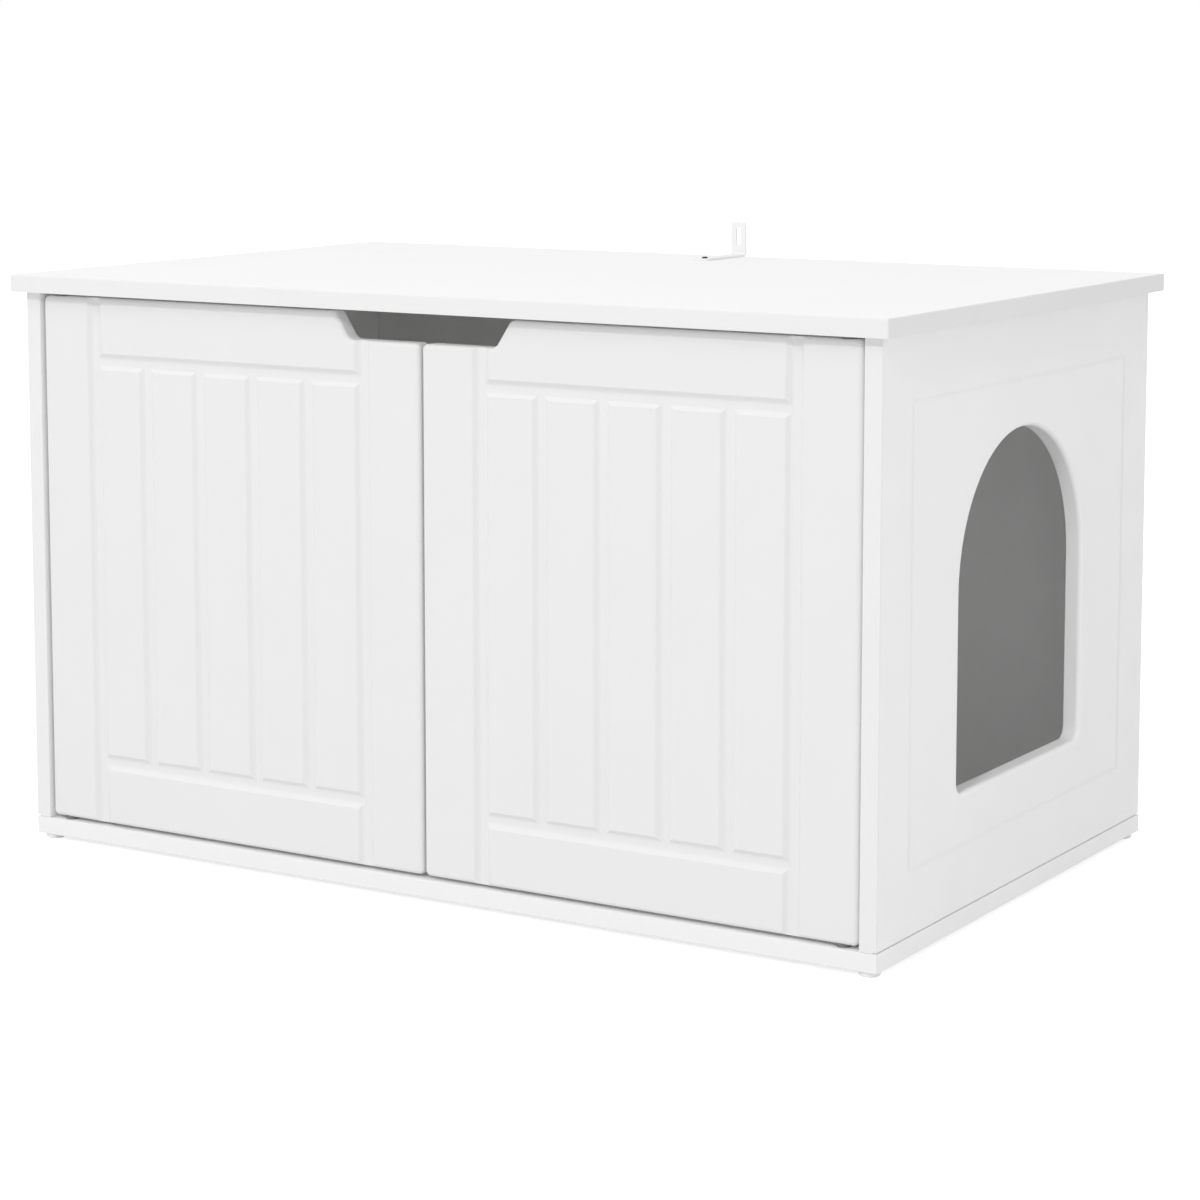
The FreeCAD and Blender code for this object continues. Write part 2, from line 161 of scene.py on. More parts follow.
class Bench:
    """Modelling moves, each made with Blender's own operators."""

    @staticmethod
    def clear() -> None:
        """Leave edit mode and deselect everything."""
        if bpy.context.mode != "OBJECT":
            bpy.ops.object.mode_set(mode="OBJECT")
        bpy.ops.object.select_all(action="DESELECT")

    @classmethod
    def take(cls, piece: Piece) -> None:
        """Make a piece the only selected and the active one."""
        cls.clear()
        piece.select_set(True)
        bpy.context.view_layer.objects.active = piece

    @classmethod
    def discard(cls, piece: Piece) -> None:
        """Delete a tool or a pattern that has done its work."""
        cls.take(piece)
        bpy.ops.object.delete()

    @classmethod
    def named(cls, name: str) -> Piece:
        """Name the primitive just added and move its place and turn into its mesh."""
        piece = bpy.context.object
        piece.name = name
        piece.data.name = name
        bpy.ops.object.transform_apply(location=True, rotation=True, scale=True)
        return piece

    @classmethod
    def block(cls, name: str, low: Vector, high: Vector) -> Piece:
        """Start a piece as a block between its lowest and its highest corner."""
        cls.clear()
        bpy.ops.mesh.primitive_cube_add(size=1.0, location=(low + high) / 2)
        bpy.context.object.scale = high - low
        return cls.named(name)

    @classmethod
    def rod(cls, name: str, start: Vector, axis: Axis, length: float, diameter: float,
            sides: int = 48) -> Piece:
        """Start a piece as a rod from one end along an axis, or back along it if the length is negative."""
        cls.clear()
        turn = Axis.Z.unit.rotation_difference(axis.unit).to_euler()
        bpy.ops.mesh.primitive_cylinder_add(
            vertices=sides, radius=diameter / 2, depth=abs(length),
            location=start + axis.unit * length / 2, rotation=turn)
        return cls.named(name)

    @classmethod
    def sweep(cls, name: str, outline: list[Vector], run: Vector) -> Piece:
        """Start a piece as an outline that is extruded along a run.

        Args:
            name: Name of the piece.
            outline: Corners of the outline, in order.
            run: Vector that the outline is extruded by.

        Returns:
            The new piece.
        """
        cls.clear()
        bpy.ops.mesh.primitive_circle_add(vertices=len(outline), radius=1.0, fill_type="NGON")
        piece = cls.named(name)
        bpy.ops.object.mode_set(mode="EDIT")
        mesh = bmesh.from_edit_mesh(piece.data)
        mesh.verts.ensure_lookup_table()
        for vertex, place in zip(mesh.verts, outline):
            vertex.co = place
        bmesh.update_edit_mesh(piece.data)
        bpy.ops.mesh.select_all(action="SELECT")
        cls.extrude(run)
        cls.face_outward(piece)
        return piece

    @classmethod
    def pick(cls, piece: Piece, kind: Kind, wanted: Test = anything) -> int:
        """Go into edit mode and select what a test picks.

        Args:
            piece: Piece to work on.
            kind: Kind of element that the test looks at.
            wanted: Test of one element.

        Returns:
            How many elements are selected.
        """
        cls.take(piece)
        bpy.ops.object.mode_set(mode="EDIT")
        bpy.ops.mesh.select_mode(type=kind.name)
        bpy.ops.mesh.select_all(action="DESELECT")
        mesh = bmesh.from_edit_mesh(piece.data)
        mesh.normal_update()
        found = [element for element in getattr(mesh, kind.value) if wanted(element)]
        for element in found:
            element.select_set(True)
        bmesh.update_edit_mesh(piece.data)
        return len(found)

    @staticmethod
    def extrude(run: Vector | tuple[float, float, float]) -> None:
        """Extrude what is selected in edit mode along a run."""
        bpy.ops.mesh.extrude_region_move(TRANSFORM_OT_translate={"value": run})

    @classmethod
    def inset(cls, piece: Piece, wanted: Test, *steps: tuple[float, float]) -> None:
        """Inset the faces that a test picks, step by step, each by a width and with a rise."""
        cls.pick(piece, Kind.FACE, wanted)
        for width, rise in steps:
            bpy.ops.mesh.inset(thickness=width, depth=rise)

    @classmethod
    def split(cls, piece: Piece, height: float) -> None:
        """Part the faces of a piece where they cross a height."""
        cls.pick(piece, Kind.FACE)
        bpy.ops.mesh.bisect(plane_co=(0, 0, height), plane_no=(0, 0, 1))

    @classmethod
    def ease(cls, piece: Piece, wanted: Test, width: float, steps: int = 3) -> None:
        """Round the edges that a test picks, to a width on each face and with so many facets across."""
        if cls.pick(piece, Kind.EDGE, wanted):
            bpy.ops.mesh.bevel(offset_type="OFFSET", offset=width, segments=steps, profile=0.5,
                               affect="EDGES", clamp_overlap=False)
        cls.clear()

    @classmethod
    def round_corners(cls, piece: Piece, box: Box, across: tuple[Axis, Axis], radius: float) -> None:
        """Round the four edges of a block that run square to two directions, given its two corners."""
        first, second = across
        for one in box:
            for other in box:
                at_corner = on_line({first: one[first.value], second: other[second.value]})
                cls.ease(piece, at_corner, radius, 5)

    @classmethod
    def cut(cls, piece: Piece, tools: Iterable[Piece]) -> None:
        """Cut closed tools out of a piece, one after the other, and throw the tools away."""
        for tool in tools:
            cls.take(piece)
            modifier = piece.modifiers.new("cut", "BOOLEAN")
            modifier.operation = "DIFFERENCE"
            modifier.solver = "EXACT"
            modifier.object = tool
            bpy.ops.object.modifier_apply(modifier=modifier.name)
            cls.discard(tool)

    @classmethod
    def join(cls, pieces: list[Piece], name: str) -> Piece:
        """Join pieces into the first of them, under a new name."""
        cls.take(pieces[0])
        for piece in pieces[1:]:
            piece.select_set(True)
        bpy.ops.object.join()
        pieces[0].name = name
        return pieces[0]

    @classmethod
    def face_outward(cls, piece: Piece) -> None:
        """Close doubled points and turn every face outward."""
        cls.take(piece)
        bpy.ops.object.mode_set(mode="EDIT")
        bpy.ops.mesh.select_all(action="SELECT")
        bpy.ops.mesh.remove_doubles(threshold=NEAR / 10)
        bpy.ops.mesh.normals_make_consistent(inside=False)
        cls.clear()

    @classmethod
    def smooth(cls, piece: Piece, angle: float = 34.0) -> Piece:
        """Shade softly over edges below an angle in degrees, keep flat faces flat, and return the piece."""
        cls.face_outward(piece)
        cls.take(piece)
        bpy.ops.object.shade_smooth_by_angle(angle=math.radians(angle))
        modifier = piece.modifiers.new("flat faces", "WEIGHTED_NORMAL")
        modifier.keep_sharp = True
        bpy.ops.object.modifier_apply(modifier=modifier.name)
        return piece

    @classmethod
    def copy(cls, piece: Piece, name: str, move: Matrix) -> Piece:
        """Copy a piece, with a mesh of its own, to the place that a matrix moves it to."""
        cls.take(piece)
        bpy.ops.object.duplicate(linked=False)
        twin = bpy.context.object
        twin.matrix_world = move
        return cls.named(name)


class NodeSheet:
    """A node tree that is cleared and drawn anew, with short calls that add and join its nodes."""

    def __init__(self, tree: bpy.types.NodeTree) -> None:
        """Clear the tree."""
        self.tree = tree
        tree.nodes.clear()

    def node(self, kind: str, **values: float | tuple) -> bpy.types.Node:
        """Add a node of a kind and set its named inputs, with underscores for spaces in the names."""
        made = self.tree.nodes.new(f"ShaderNode{kind}")
        for name, value in values.items():
            made.inputs[name.replace("_", " ")].default_value = value
        return made

    def join(self, source: Socket, target: Socket) -> None:
        """Link an output to an input."""
        self.tree.links.new(source, target)

    def seen_directly(self) -> Socket:
        """Share that is 1 for camera, mirror and glass rays and 0 for the rest."""
        path = self.node("LightPath")
        total = path.outputs["Is Camera Ray"]
        for name in ("Is Glossy Ray", "Is Transmission Ray"):
            more = self.node("Math")
            more.operation = "MAXIMUM"
            self.join(total, more.inputs[0])
            self.join(path.outputs[name], more.inputs[1])
            total = more.outputs[0]
        return total

    def by_sight(self, lit: Socket, seen: Socket, output: str) -> None:
        """End the tree in one shader for the light that is given and another for what is seen."""
        mix = self.node("MixShader")
        for source, target in zip((self.seen_directly(), lit, seen), mix.inputs):
            self.join(source, target)
        self.join(mix.outputs[0], self.node(output).inputs["Surface"])


class FinishSheet(NodeSheet):
    """Node tree of one finish, with patterns in object coordinates."""

    def __init__(self, name: str) -> None:
        """Start a material with its shader, output and object coordinates."""
        self.material = bpy.data.materials.new(name)
        self.material.use_nodes = True
        super().__init__(self.material.node_tree)
        self.shader = self.node("BsdfPrincipled")
        self.join(self.shader.outputs["BSDF"], self.node("OutputMaterial").inputs["Surface"])
        self.place = self.node("TexCoord").outputs["Object"]

    def stretched(self, stretch: tuple[float, float, float]) -> Socket:
        """Object coordinates, drawn out or pressed together along the three directions."""
        mapping = self.node("Mapping", Scale=stretch)
        self.join(self.place, mapping.inputs["Vector"])
        return mapping.outputs["Vector"]

    def noise(self, size: float, detail: float = 2.0, vector: Socket | None = None) -> Socket:
        """Soft noise from 0 to 1, with features of a size in metres and octaves of finer detail."""
        node = self.node("TexNoise", Scale=1.0 / size, Detail=detail)
        self.join(vector or self.place, node.inputs["Vector"])
        return node.outputs["Fac"]

    def spread(self, source: Socket, low: float, high: float) -> Socket:
        """Map the usual run of a noise onto a range of values."""
        node = self.node("MapRange", From_Min=0.3, From_Max=0.7, To_Min=low, To_Max=high)
        self.join(source, node.inputs["Value"])
        return node.outputs["Result"]

    def between(self, share: Socket, first: tuple, second: tuple) -> Socket:
        """Colour between two colours, by a share from 0 to 1."""
        node = self.node("Mix")
        node.data_type = "RGBA"
        colours = [socket for socket in node.inputs if socket.type == "RGBA"]
        colours[0].default_value = (*first, 1.0)
        colours[1].default_value = (*second, 1.0)
        self.join(share, node.inputs["Factor"])
        return next(socket for socket in node.outputs if socket.type == "RGBA")

    def relief(self, height: Socket, depth: float, below: Socket | None = None) -> Socket:
        """Bump of a given depth in metres, on top of another bump where one is given."""
        node = self.node("Bump", Strength=1.0, Distance=depth)
        self.join(height, node.inputs["Height"])
        if below is not None:
            self.join(below, node.inputs["Normal"])
        return node.outputs["Normal"]


@dataclass(frozen=True)
class Finish:
    """A surface with a faintly wandering colour, uneven gloss and a fine relief."""

    name: str
    slot: Slot
    colour: tuple[float, float, float]
    roughness: tuple[float, float]
    mottle: float = 0.02
    mottle_size: float = 120 * MM
    gloss_size: float = 40 * MM
    grain_size: float = 0.9 * MM
    grain_depth: float = 0.006 * MM
    wave_size: float = 12 * MM
    wave_depth: float = 0.01 * MM
    metallic: float = 0.0
    specular: float = 0.5
    stretch: tuple[float, float, float] = (1.0, 1.0, 1.0)

    def material(self) -> bpy.types.Material:
        """Material of this finish, made once."""
        made = bpy.data.materials.get(self.name)
        if made is not None:
            return made
        sheet = FinishSheet(self.name)
        sheet.shader.inputs["Metallic"].default_value = self.metallic
        sheet.shader.inputs["Specular IOR Level"].default_value = self.specular
        self.paint(sheet)
        self.gloss(sheet)
        self.press(sheet)
        return sheet.material

    def paint(self, sheet: FinishSheet) -> None:
        """Colour that wanders a little round its own value."""
        darker = tuple(value * (1 - self.mottle) for value in self.colour)
        share = sheet.spread(sheet.noise(self.mottle_size, 3.0), 0.0, 1.0)
        sheet.join(sheet.between(share, darker, self.colour), sheet.shader.inputs["Base Color"])

    def gloss(self, sheet: FinishSheet) -> None:
        """Roughness that changes from place to place."""
        noise = sheet.noise(self.gloss_size, 4.0, sheet.stretched(self.stretch))
        sheet.join(sheet.spread(noise, *self.roughness), sheet.shader.inputs["Roughness"])

    def press(self, sheet: FinishSheet) -> None:
        """Fine grain on top of long shallow waves."""
        waves = sheet.relief(sheet.noise(self.wave_size, 1.0), self.wave_depth)
        grain = sheet.noise(self.grain_size, 2.0, sheet.stretched(self.stretch))
        sheet.join(sheet.relief(grain, self.grain_depth, waves), sheet.shader.inputs["Normal"])


@dataclass(frozen=True)
class TimberFinish(Finish):
    """Pale turned hardwood with fine lengthwise grain."""

    vein: tuple[float, float, float] = (0.42, 0.27, 0.14)
    vein_size: float = 1.2 * MM
    vein_stretch: tuple[float, float, float] = (1.0, 1.0, 0.06)

    def paint(self, sheet: FinishSheet) -> None:
        """Veins along the upright direction of the wood."""
        long_grain = sheet.noise(self.vein_size, 4.0, sheet.stretched(self.vein_stretch))
        share = sheet.spread(long_grain, 0.0, 1.0)
        sheet.join(sheet.between(share, self.vein, self.colour), sheet.shader.inputs["Base Color"])


class Palette:
    """Every finish of the cabinet."""

    BOARD = Finish("pressed_white_board", Slot.BOARD, (0.91, 0.91, 0.909), mottle=0.012,
                   roughness=(0.44, 0.52), grain_depth=0.012 * MM)
    BAND = Finish("white_edge_band", Slot.BOARD, (0.79, 0.79, 0.789), mottle=0.01, mottle_size=60 * MM,
                  roughness=(0.36, 0.44), grain_size=1.6 * MM)
    # Same edge band made lighter: painted light, standing in for the floor's bounce light on the bottom
    # board's front and back edges.
    SILL_BAND = replace(BAND, name="bright_edge_band", colour=(0.83, 0.83, 0.829))
    FOIL = Finish("satin_door_foil", Slot.FOIL, (0.78, 0.78, 0.779), mottle=0.01, mottle_size=90 * MM,
                  roughness=(0.54, 0.62), specular=0.35, grain_size=2.2 * MM, grain_depth=0.012 * MM,
                  wave_size=7 * MM, wave_depth=0.012 * MM)
    BACK = Finish("white_back_board", Slot.BACK, (0.9, 0.9, 0.896), mottle_size=50 * MM,
                  roughness=(0.52, 0.64), grain_size=1.4 * MM, grain_depth=0.02 * MM)
    FOOT = Finish("white_glide_plastic", Slot.FOOT, (0.90, 0.90, 0.895), mottle=0.03, mottle_size=8 * MM,
                  roughness=(0.38, 0.5), gloss_size=5 * MM, grain_size=0.35 * MM,
                  grain_depth=0.01 * MM, wave_size=4 * MM)
    PAINTED = Finish("white_powder_coat", Slot.PAINTED, (0.84, 0.84, 0.838), mottle_size=12 * MM,
                     roughness=(0.3, 0.42), gloss_size=6 * MM, grain_size=0.6 * MM,
                     grain_depth=0.012 * MM, wave_size=3 * MM, wave_depth=0.02 * MM)
    BLACK = Finish("blackened_steel", Slot.BLACK, (0.045, 0.045, 0.047), mottle=0.3, mottle_size=2 * MM,
                   roughness=(0.34, 0.52), gloss_size=1.5 * MM, metallic=0.6, grain_size=0.3 * MM,
                   grain_depth=0.01 * MM, wave_size=1.5 * MM)
    GREY = Finish("phosphated_steel", Slot.GREY, (0.2, 0.2, 0.203), mottle=0.15, mottle_size=2 * MM,
                  roughness=(0.5, 0.64), gloss_size=1.5 * MM, metallic=0.2, grain_size=0.3 * MM,
                  grain_depth=0.01 * MM, wave_size=2 * MM)
    STEEL = Finish("plated_steel", Slot.STEEL, (0.56, 0.56, 0.58), mottle=0.08, mottle_size=6 * MM,
                   roughness=(0.2, 0.36), gloss_size=2.5 * MM, metallic=1.0, grain_size=0.25 * MM,
                   wave_size=4 * MM, stretch=(0.15, 1.0, 1.0))
    CAM = Finish("cast_zinc", Slot.CAM, (0.42, 0.42, 0.43), mottle=0.12, mottle_size=4 * MM,
                 roughness=(0.34, 0.52), gloss_size=2 * MM, metallic=1.0, grain_size=0.5 * MM,
                 grain_depth=0.02 * MM, wave_size=3 * MM)
    BUSH = Finish("nylon_bush", Slot.BUSH, (0.74, 0.74, 0.72), mottle=0.03, mottle_size=5 * MM,
                  roughness=(0.34, 0.44), gloss_size=3 * MM, grain_size=0.4 * MM, wave_size=3 * MM)
    CATCH = Finish("white_catch_plastic", Slot.CATCH, (0.76, 0.76, 0.75), mottle=0.03,
                   mottle_size=10 * MM, roughness=(0.36, 0.5), gloss_size=6 * MM,
                   grain_size=0.4 * MM, grain_depth=0.012 * MM, wave_size=5 * MM)
    MAGNET = Finish("sintered_magnet", Slot.MAGNET, (0.06, 0.058, 0.056), mottle=0.3, mottle_size=3 * MM,
                    roughness=(0.5, 0.7), gloss_size=2 * MM, grain_size=0.5 * MM,
                    grain_depth=0.03 * MM, wave_size=3 * MM)
    DOWEL = TimberFinish("beech_dowel", Slot.DOWEL, (0.62, 0.46, 0.29), roughness=(0.5, 0.66),
                         gloss_size=3 * MM, grain_size=0.5 * MM, grain_depth=0.03 * MM,
                         wave_size=4 * MM, stretch=(1.0, 1.0, 0.08))


def dress(piece: Piece, finish: Finish) -> None:
    """Give a piece or a CAD node one finish all over."""
    piece.data.materials.clear()
    piece.data.materials.append(finish.material())


def dress_part(piece: Piece, finish: Finish, wanted: Test) -> None:
    """Give the faces of a dressed piece that a test picks by their corners a finish of their own."""
    piece.data.materials.append(finish.material())
    for polygon in piece.data.polygons:
        if wanted([piece.data.vertices[index].co for index in polygon.vertices]):
            polygon.material_index = 1


def dress_edges(board: Piece, spans: Iterable[Axis], edges: Finish) -> None:
    """Give the edges at both ends of a dressed board's spans a finish of their own."""
    rim = 1.2 * MM
    ends = [(span.value, end(vertex.co[span.value] for vertex in board.data.vertices))
            for span in spans for end in (min, max)]
    dress_part(board, edges, lambda corners: any(
        all(abs(corner[index] - level) < rim for corner in corners) for index, level in ends))


def settle(piece: Piece, finish: Finish, node: str, body: Body = Body.CARCASS) -> None:
    """Dress a finished piece and fix it to its body, in place of a CAD node.

    Args:
        piece: Piece to fix.
        finish: Finish of the piece, which also says its material slot.
        node: CAD node that it stands for.
        body: Body that it rides on.
    """
    dress(piece, finish)
    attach(piece, body.value)
    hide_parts(node)
    log.info("%s rides on %s", piece.name, body.value)


@dataclass
class Carcass:
    """Top, bottom, side and back boards, with the arch and the routed lines of the sides."""

    edge_easing: float = 0.8 * MM
    top_easing: float = 1.5 * MM
    joint_height: float = 1.7 * MM
    joint_depth: float = 4.0 * MM
    line_inset: float = 56.0 * MM
    line_width: float = 5.0 * MM
    line_depth: float = 1.0 * MM
    arch_front: float = -127.0 * MM
    arch_width: float = 254.0 * MM
    arch_sill: float = 100.0 * MM
    arch_straight: float = 169.0 * MM
    arch_sill_radius: float = 11.0 * MM
    arch_outer_easing: float = 4.5 * MM
    arch_inner_easing: float = 1.0 * MM
    back_easing: float = 0.4 * MM
    groove_play: float = 0.1 * MM
    cam_bore: float = 15.0 * MM
    cam_bore_depth: float = 12.5 * MM

    def build(self) -> None:
        """Build and dress every board."""
        self.build_top()
        self.build_bottom()
        for hand in Hand:
            self.build_side(hand)
        self.build_back()

    def back_groove(self) -> Piece:
        """Tool that cuts the groove for the back board into the boards round it."""
        low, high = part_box("back_panel")
        play = Vector((1, 1, 1)) * self.groove_play
        return Bench.block("back_groove_tool", low - play, high + play)

    def build_top(self) -> None:
        """Top board with softly rounded upper edges."""
        low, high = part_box("top_panel")
        board = Bench.block("top_board", low, high)
        Bench.ease(board, lambda edge: not on_plane(Axis.Z, low.z)(edge), self.top_easing, 4)
        Bench.ease(board, on_plane(Axis.Z, low.z), self.edge_easing / 2, 2)
        Bench.cut(board, [self.back_groove()])
        settle(Bench.smooth(board), Palette.BOARD, "top_panel")
        dress_edges(board, (Axis.X, Axis.Y), Palette.BAND)

    def build_bottom(self) -> None:
        """Bottom board with eased edges all round, and edge bands at its front and back that are painted
        lighter, as painted floor bounce light.
        """
        low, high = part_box("bottom_panel")
        board = Bench.block("bottom_board", low, high)
        Bench.ease(board, anything, self.edge_easing, 3)
        Bench.cut(board, [self.back_groove()])
        settle(Bench.smooth(board), Palette.BOARD, "bottom_panel")
        # Front and back edges get the lighter band, a painted stand-in for light bounced up from the floor.
        dress_edges(board, (Axis.Y,), Palette.SILL_BAND)

    def build_side(self, hand: Hand) -> None:
        """Side board with its routed line, and the arch on the right."""
        node = f"{hand.side}_side_panel"
        low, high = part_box(node)
        board = Bench.block(f"{hand.side}_side_board", low, high)
        Bench.ease(board, anything, self.edge_easing, 3)
        self.route_line(board, hand)
        if hand is Hand.RIGHT:
            self.open_arch(board, (low, high))
        Bench.cut(board, [self.back_groove(), self.cam_bores(hand), self.joint_tool(hand, (low, high))])
        settle(Bench.smooth(board), Palette.BOARD, node)
        dress_edges(board, (Axis.Y, Axis.Z), Palette.BAND)

    def joint_tool(self, hand: Hand, box: Box) -> Piece:
        """Tool for the shadow line along the foot of a side board's outer face.

        Args:
            hand: Side that the board stands on.
            box: Lowest and highest corner of the board.

        Returns:
            The tool, which runs past both ends of the board.
        """
        low, high = box
        start = low - Vector((1, 1, 1)) * OVERRUN
        end = Vector((high.x + OVERRUN, high.y + OVERRUN, low.z + self.joint_height))
        if hand is Hand.RIGHT:
            start.x = high.x - self.joint_depth
        else:
            end.x = low.x + self.joint_depth
        return Bench.block("joint_tool", start, end)

    def route_line(self, board: Piece, hand: Hand) -> None:
        """Route the thin line round the outer face, as three insets of that face."""
        half = self.line_width / 2
        Bench.inset(board, facing(Axis.X.unit * hand.value, area=0.1),
                    (self.line_inset - half - self.edge_easing, 0.0),
                    (half, -self.line_depth), (half, self.line_depth))

    def open_arch(self, board: Piece, box: Box) -> None:
        """Cut the arch through a side board and round its two rims.

        Args:
            board: Side board.
            box: Lowest and highest corner of the board.
        """
        low, high = box
        Bench.cut(board, [self.arch_tool(box)])
        front, back = self.arch_front - NEAR, self.arch_front + self.arch_width + NEAR
        sill = low.z + self.arch_sill - NEAR

        def in_arch(edge: bmesh.types.BMEdge) -> bool:
            """Whether an edge lies within the width of the arch and above its sill."""
            return all(front < vertex.co.y < back and vertex.co.z > sill for vertex in edge.verts)

        rims = ((high.x, self.arch_outer_easing, 5), (low.x, self.arch_inner_easing, 3))
        for level, easing, steps in rims:
            Bench.ease(board, every(on_plane(Axis.X, level), sharp, in_arch), easing, steps)

    def arch_tool(self, box: Box) -> Piece:
        """Tool of the arch: a half circle, drawn down to the sill and extruded through the board.

        Args:
            box: Lowest and highest corner of the board.

        Returns:
            The tool, which runs past both faces of the board.
        """
        low, high = box
        radius = self.arch_width / 2
        sill = low.z + self.arch_sill
        spring = sill + self.arch_straight
        start = Vector((low.x - OVERRUN, self.arch_front + radius, spring))
        Bench.clear()
        bpy.ops.mesh.primitive_circle_add(vertices=128, radius=radius, location=start,
                                          rotation=(0, math.pi / 2, 0))
        tool = Bench.named("arch_tool")
        Bench.pick(tool, Kind.VERT, lambda vertex: vertex.co.z < spring - NEAR)
        bpy.ops.mesh.delete(type="VERT")
        Bench.pick(tool, Kind.VERT, lambda vertex: abs(vertex.co.z - spring) < NEAR)
        Bench.extrude((0, 0, sill - spring))
        bpy.ops.mesh.edge_face_add()
        Bench.pick(tool, Kind.VERT)
        bpy.ops.mesh.edge_face_add()
        Bench.pick(tool, Kind.VERT, lambda vertex: abs(vertex.co.z - sill) < NEAR)
        bpy.ops.mesh.bevel(offset=self.arch_sill_radius, segments=8, affect="VERTICES")
        bpy.ops.mesh.select_all(action="SELECT")
        Bench.extrude((high.x - low.x + 2 * OVERRUN, 0, 0))
        Bench.face_outward(tool)
        return tool

    def cam_bores(self, hand: Hand) -> Piece:
        """Tool of the four cam bores in the inner face of a side board."""
        back = Axis.X.unit * -hand.value * OVERRUN
        length = hand.value * (self.cam_bore_depth + OVERRUN)
        return Bench.join([Bench.rod("cam_bore_tool", place + back, Axis.X, length, self.cam_bore)
                           for place in CamLocks().places(hand)], "cam_bore_tools")

    def build_back(self) -> None:
        """Thin back board in the grooves of the others."""
        low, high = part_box("back_panel")
        board = Bench.block("back_board", low, high)
        Bench.ease(board, anything, self.back_easing, 2)
        settle(Bench.smooth(board), Palette.BACK, "back_panel")


@dataclass(frozen=True)
class Groove:
    """Cross-section of a routed groove: a flat floor, hollow corners, steep walls and soft shoulders."""

    width: float
    depth: float
    shoulder: float = 1.2 * MM
    wall: float = 2.3 * MM
    hollow: float = 3.4 * MM

    def fall(self, inward: float) -> float:
        """Depth below the face at a distance inward from the groove's edge."""
        steep = self.depth / (self.shoulder / 2 + self.wall + self.hollow / 2)
        first = min(inward, self.shoulder)
        second = min(max(inward - self.shoulder, 0.0), self.wall)
        third = min(max(inward - self.shoulder - self.wall, 0.0), self.hollow)
        top = first * first / (2 * self.shoulder)
        foot = third - third * third / (2 * self.hollow)
        return steep * (top + second + foot)

    def outline(self, start: Vector, across: Vector, outward: Vector) -> list[Vector]:
        """Closed outline of the groove's cutter.

        Args:
            start: Point on the face, at the middle of the groove's end.
            across: Unit vector across the groove, along the face.
            outward: Unit vector out of the face.

        Returns:
            Corners of the outline, down one wall, over the floor, up the other and back above the face.
        """
        edge = self.width / 2
        corner = self.shoulder + self.wall
        steps = [self.shoulder * share for share in (0.34, 0.67, 1.0)] + [self.shoulder + self.wall / 2]
        steps += [corner + self.hollow * share for share in (0.0, 0.2, 0.4, 0.6, 0.8, 1.0)]
        half = [(-edge + step, -self.fall(step)) for step in steps]
        lead = 0.3 * MM
        rise = -half[0][1] / steps[0] * lead
        points = [(-edge - lead, 2 * OVERRUN), (-edge - lead, rise)] + half
        points += [(-offset, height) for offset, height in reversed(points)]
        return [start + across * offset + outward * height for offset, height in points]

    def cutter(self, name: str, start: Vector, across: Axis, run: Vector) -> Piece:
        """Cutter of a groove in a front face, from a start at the middle of one end along a run."""
        return Bench.sweep(name, self.outline(start, across.unit, -Axis.Y.unit), run)


